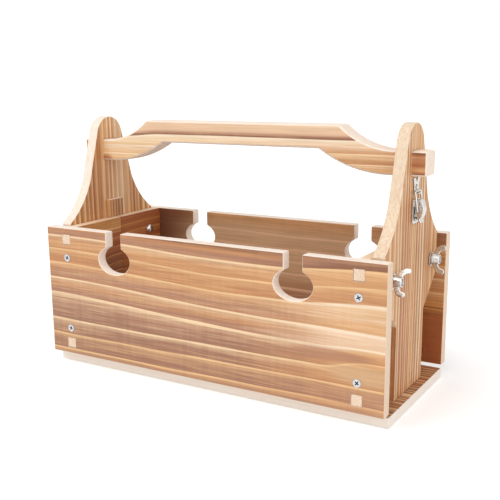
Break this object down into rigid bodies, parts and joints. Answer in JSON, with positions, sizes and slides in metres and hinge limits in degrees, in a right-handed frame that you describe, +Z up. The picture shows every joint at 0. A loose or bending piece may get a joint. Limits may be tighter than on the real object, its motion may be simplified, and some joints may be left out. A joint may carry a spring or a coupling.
{
  "type": "wooden picnic basket",
  "caption": "Open wooden picnic basket: keyholed tray panels bolted to bell-shaped end boards with wing nuts, a raised through-tenoned handle and small toggle latches.",
  "frame": {"origin": "centre of the underside of the bottom board, on the surface that the basket stands on", "axes": "+X along the handle, from the left end board to the right one; +Y from the front panel to the back panel; +Z up"},
  "size_m": [0.3398, 0.146, 0.226],
  "materials": {
    "light_acacia": "clear satin lacquer",
    "warm_acacia": "clear satin lacquer",
    "zinc_steel": "zinc plated",
    "nickel_plate": "bright nickel plate"
  },
  "bodies": {
    "basket": {"bottom_board": "light_acacia", "handle": "light_acacia", "front_panel": "light_acacia", "back_panel": "light_acacia", "left_end_board": "light_acacia", "left_stop_block": "warm_acacia", "left_front_base_screw": "zinc_steel", "left_back_base_screw": "zinc_steel", "left_latch_base": "nickel_plate", "left_latch_pin": "nickel_plate", "left_latch_strike": "nickel_plate", "left_lower_latch_screw": "nickel_plate", "left_middle_latch_screw": "nickel_plate", "left_upper_latch_screw": "nickel_plate", "right_end_board": "light_acacia", "right_stop_block": "warm_acacia", "right_front_base_screw": "zinc_steel", "right_back_base_screw": "zinc_steel", "right_latch_base": "nickel_plate", "right_latch_pin": "nickel_plate", "right_latch_strike": "nickel_plate", "right_lower_latch_screw": "nickel_plate", "right_middle_latch_screw": "nickel_plate", "right_upper_latch_screw": "nickel_plate", "front_left_half_wall": "warm_acacia", "front_left_lower_screw": "zinc_steel", "front_left_upper_screw": "zinc_steel", "front_left_bolt": "zinc_steel", "front_left_washer": "zinc_steel", "front_right_half_wall": "warm_acacia", "front_right_lower_screw": "zinc_steel", "front_right_upper_screw": "zinc_steel", "front_right_bolt": "zinc_steel", "front_right_washer": "zinc_steel", "back_left_half_wall": "warm_acacia", "back_left_lower_screw": "zinc_steel", "back_left_upper_screw": "zinc_steel", "back_left_bolt": "zinc_steel", "back_left_washer": "zinc_steel", "back_right_half_wall": "warm_acacia", "back_right_lower_screw": "zinc_steel", "back_right_upper_screw": "zinc_steel", "back_right_bolt": "zinc_steel", "back_right_washer": "zinc_steel"},
    "front_left_wing_nut": {"front_left_wing_nut": "nickel_plate"},
    "front_right_wing_nut": {"front_right_wing_nut": "nickel_plate"},
    "back_left_wing_nut": {"back_left_wing_nut": "nickel_plate"},
    "back_right_wing_nut": {"back_right_wing_nut": "nickel_plate"},
    "left_latch_lever": {"left_latch_lever": "nickel_plate"},
    "left_latch_bail": {"left_latch_bail": "nickel_plate"},
    "right_latch_lever": {"right_latch_lever": "nickel_plate"},
    "right_latch_bail": {"right_latch_bail": "nickel_plate"}
  },
  "joints": [
    {"name": "front_left_nut_turn", "type": "hinge", "parent": "basket", "child": "front_left_wing_nut", "pos_m": [-0.1589, -0.0445, 0.1105], "axis": [1, 0, 0], "continuous": true},
    {"name": "front_right_nut_turn", "type": "hinge", "parent": "basket", "child": "front_right_wing_nut", "pos_m": [0.1589, -0.0445, 0.1105], "axis": [1, 0, 0], "continuous": true},
    {"name": "back_left_nut_turn", "type": "hinge", "parent": "basket", "child": "back_left_wing_nut", "pos_m": [-0.1589, 0.0445, 0.1105], "axis": [1, 0, 0], "continuous": true},
    {"name": "back_right_nut_turn", "type": "hinge", "parent": "basket", "child": "back_right_wing_nut", "pos_m": [0.1589, 0.0445, 0.1105], "axis": [1, 0, 0], "continuous": true},
    {"name": "left_lever_swing", "type": "hinge", "parent": "basket", "child": "left_latch_lever", "pos_m": [-0.1619, 0, 0.164], "axis": [0, 1, 0], "range_deg": [0, 100]},
    {"name": "left_bail_swing", "type": "hinge", "parent": "left_latch_lever", "child": "left_latch_bail", "pos_m": [-0.1619, 0, 0.158], "axis": [0, 1, 0], "range_deg": [-100, 0]},
    {"name": "right_lever_swing", "type": "hinge", "parent": "basket", "child": "right_latch_lever", "pos_m": [0.1619, 0, 0.164], "axis": [0, -1, 0], "range_deg": [0, 100]},
    {"name": "right_bail_swing", "type": "hinge", "parent": "right_latch_lever", "child": "right_latch_bail", "pos_m": [0.1619, 0, 0.158], "axis": [0, -1, 0], "range_deg": [-100, 0]}
  ],
  "couplings": [
    {"joint": "left_bail_swing", "follows": "left_lever_swing", "ratio": -1},
    {"joint": "right_bail_swing", "follows": "right_lever_swing", "ratio": -1}
  ]
}
